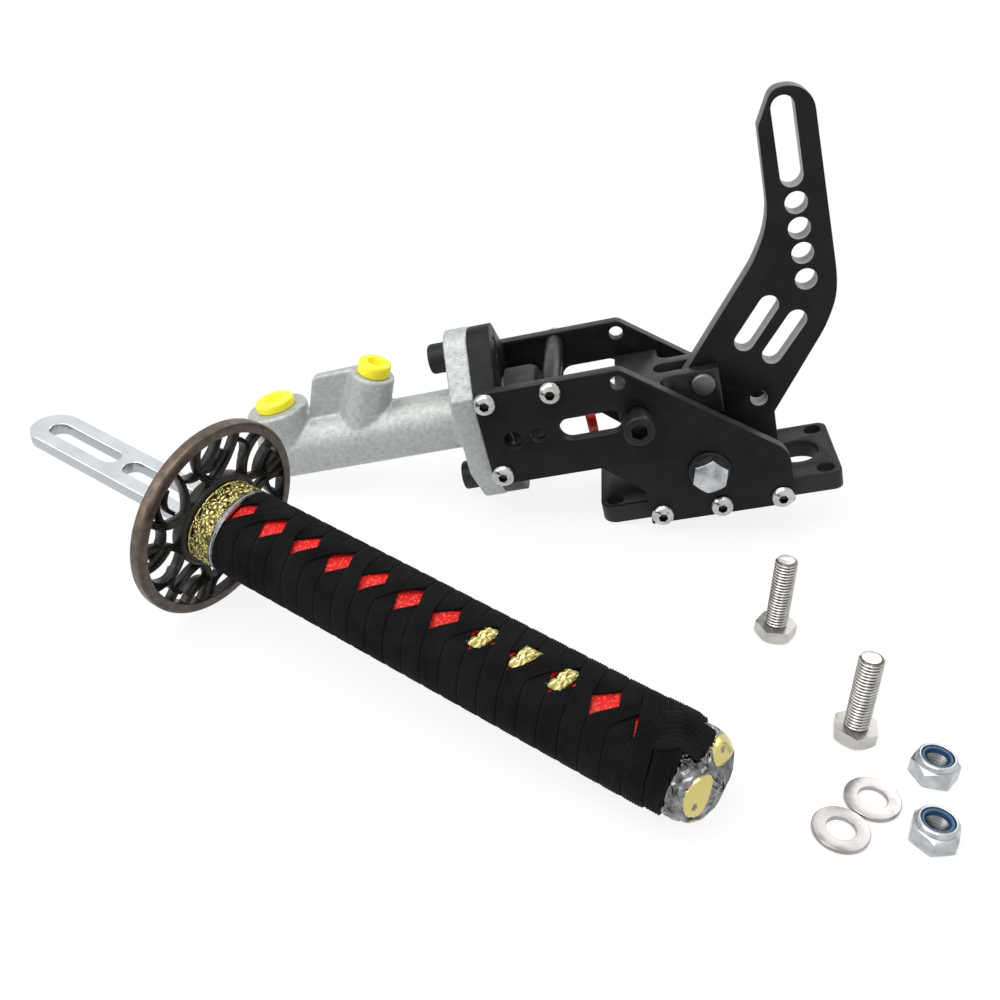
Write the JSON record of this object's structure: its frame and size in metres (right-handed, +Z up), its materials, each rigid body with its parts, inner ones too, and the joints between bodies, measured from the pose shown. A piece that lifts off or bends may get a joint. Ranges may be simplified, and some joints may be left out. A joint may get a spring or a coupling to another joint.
{
  "type": "parking brake lever",
  "caption": "Hydraulic hand brake kit: slotted lever in a plate frame pushing a cast master cylinder, with a loose wrapped handle and its bolts, washers and nuts.",
  "frame": {"origin": "below the middle of the kit's bounding box, on the floor it lies on", "axes": "+X along the kit's length, from the cylinder's nose towards the lever, +Y away from the handle towards the stand, +Z up"},
  "size_m": [0.339, 0.2306, 0.1756],
  "materials": {
    "black_plate": "black anodised plate, satin",
    "cast_alloy": "pale grey cast aluminium, matt",
    "yellow_plastic": "yellow transit plug",
    "black_steel": "black oxide steel",
    "zinc_steel": "bright zinc plated steel",
    "stainless": "stainless steel",
    "blue_nylon": "blue nylon",
    "black_rubber": "black rubber",
    "bush_bronze": "sintered bronze",
    "band_red": "translucent red elastic band",
    "bar_silver": "bright aluminium bar",
    "guard_bronze": "dark bronzed casting with a brown rubbed rim",
    "old_gold": "antique gold relief",
    "grip_red": "red woven underlay",
    "cord_black": "black woven cord",
    "gunmetal": "gunmetal with antique gold arcs"
  },
  "bodies": {
    "stand": {"base_plate": "black_plate", "base_screw_front_1": "stainless", "base_screw_front_2": "stainless", "base_screw_front_3": "stainless", "base_screw_rear_1": "stainless", "base_screw_rear_2": "stainless", "base_screw_rear_3": "stainless", "circlip": "black_steel", "cylinder_body": "cast_alloy", "dust_boot": "black_rubber", "end_plate": "black_plate", "end_screw_front_lower": "stainless", "end_screw_front_upper": "stainless", "end_screw_rear_lower": "stainless", "end_screw_rear_upper": "stainless", "flange_bolt_lower": "black_steel", "flange_bolt_upper": "black_steel", "front_side_plate": "black_plate", "grip_core": "grip_red", "grip_wrap": "cord_black", "guard": "guard_bronze", "guard_collar": "old_gold", "inlet_plug": "yellow_plastic", "lock_bolt": "black_steel", "loose_bolt_1": "stainless", "loose_bolt_2": "stainless", "loose_nut_1": "zinc_steel", "loose_nut_2": "zinc_steel", "loose_washer_1": "stainless", "loose_washer_2": "stainless", "nut_ring_1": "blue_nylon", "nut_ring_2": "blue_nylon", "ornament_top": "old_gold", "ornament_underside": "old_gold", "outlet_plug": "yellow_plastic", "pivot_bolt": "zinc_steel", "pivot_nut": "zinc_steel", "pivot_washer_front": "black_steel", "pivot_washer_rear": "black_steel", "plate_spacer": "black_steel", "pommel_cap": "gunmetal", "rear_side_plate": "black_plate", "return_spring": "zinc_steel", "spacer_screw_front": "stainless", "spacer_screw_rear": "stainless", "stop_washer": "zinc_steel", "tang_bar": "bar_silver"},
    "lever": {"lever_plate": "black_plate", "pivot_bush": "bush_bronze"},
    "rod": {"clevis": "stainless", "clevis_pin": "zinc_steel", "clevis_pin_clip": "black_steel", "pushrod": "zinc_steel", "rod_lock_nut": "zinc_steel", "red_band": "band_red"},
    "piston": {"piston": "stainless", "primary_cup": "black_rubber", "secondary_cup": "black_rubber"}
  },
  "joints": [
    {"name": "lever_pivot", "type": "hinge", "parent": "stand", "child": "lever", "pos_m": [0.10095, 0.076, 0.03229], "axis": [0, -1, 0], "range_deg": [0, 25], "stiffness_Nm_per_rad": 1.7, "springref_deg": -8.59},
    {"name": "fork_pivot", "type": "hinge", "parent": "lever", "child": "rod", "pos_m": [0.09703, 0.076, 0.06168], "axis": [0, -1, 0], "range_deg": [-26, 0]},
    {"name": "piston_slide", "type": "slide", "parent": "stand", "child": "piston", "axis": [-0.9728, 0, -0.2317], "range_m": [0, 0.0132], "deforming": ["return_spring"]}
  ],
  "couplings": [
    {"joint": "fork_pivot", "follows": "lever_pivot", "ratio": -1.0225},
    {"joint": "piston_slide", "follows": "lever_pivot", "m_per_rad": 0.0293}
  ]
}
